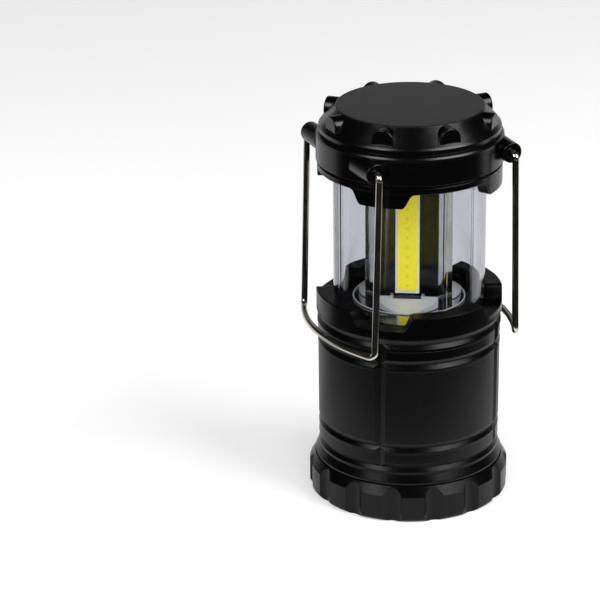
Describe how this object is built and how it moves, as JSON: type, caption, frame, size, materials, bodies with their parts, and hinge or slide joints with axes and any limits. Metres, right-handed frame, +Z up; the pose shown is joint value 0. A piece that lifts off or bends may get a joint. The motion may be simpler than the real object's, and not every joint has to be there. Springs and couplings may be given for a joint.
{
  "type": "camping lantern",
  "caption": "Pull-up camping lantern: fluted twist-off foot, black grooved base, clear tube round a mirrored light core, pegged cap and side wire bails.",
  "frame": {"origin": "on the surface the lantern stands on, on its axis", "axes": "+Z up; the bails hang on the -X and +X sides and pivot on axes along Y"},
  "size_m": [0.0626, 0.0621, 0.125],
  "materials": {
    "black_plastic": "satin black with a fine moulded grain",
    "inner_plastic": "plain moulded",
    "clear_plastic": "clear moulded plastic",
    "mirror_plating": "vacuum plated plastic",
    "white_board": "white solder mask",
    "phosphor": "translucent yellow phosphor",
    "circuit_board": "green solder mask",
    "component_black": "matte",
    "cell_jacket": "plain printed jacket without lettering",
    "contact_brass": "nickelled",
    "spring_steel": "nickelled",
    "screw_steel": "zinc plated",
    "nickel_wire": "bright nickel plated"
  },
  "bodies": {
    "base": {"body_shell": "black_plastic", "battery_tower": "inner_plastic", "tower_screws": "screw_steel", "battery_cell_1": "cell_jacket", "battery_cell_2": "cell_jacket", "battery_cell_3": "cell_jacket", "cell_contact_plates": "contact_brass", "top_contact_board": "circuit_board", "switch_leaves": "contact_brass"},
    "base_cover": {"base_cap": "black_plastic", "spring_board": "circuit_board", "cell_springs": "spring_steel"},
    "head": {"cap_shell": "black_plastic", "cap_ring": "black_plastic", "lens_tube": "clear_plastic", "reflector_core": "mirror_plating", "contact_rails": "contact_brass", "reflector_tray": "mirror_plating", "top_reflector": "mirror_plating", "cob_board_1": "white_board", "cob_board_2": "white_board", "cob_board_3": "white_board", "cob_phosphor_1": "phosphor", "cob_phosphor_2": "phosphor", "cob_phosphor_3": "phosphor", "driver_board": "circuit_board", "driver_components": "component_black", "board_screws": "screw_steel"},
    "left_handle": {"left_bail": "nickel_wire"},
    "right_handle": {"right_bail": "nickel_wire"}
  },
  "joints": [
    {"name": "head_slide", "type": "slide", "parent": "base", "child": "head", "axis": [0, 0, 1], "range_m": [-0.0386, 0]},
    {"name": "base_cap_twist", "type": "hinge", "parent": "base", "child": "base_cover", "pos_m": [0, 0, 0.006], "axis": [0, 0, 1], "range_deg": [-30, 0]},
    {"name": "left_bail_pivot", "type": "hinge", "parent": "head", "child": "left_handle", "pos_m": [-0.02264, 0, 0.11285], "axis": [0, 1, 0], "range_deg": [-0.6, 193]},
    {"name": "right_bail_pivot", "type": "hinge", "parent": "head", "child": "right_handle", "pos_m": [0.02264, 0, 0.11285], "axis": [0, -1, 0], "range_deg": [-0.3, 193]}
  ]
}
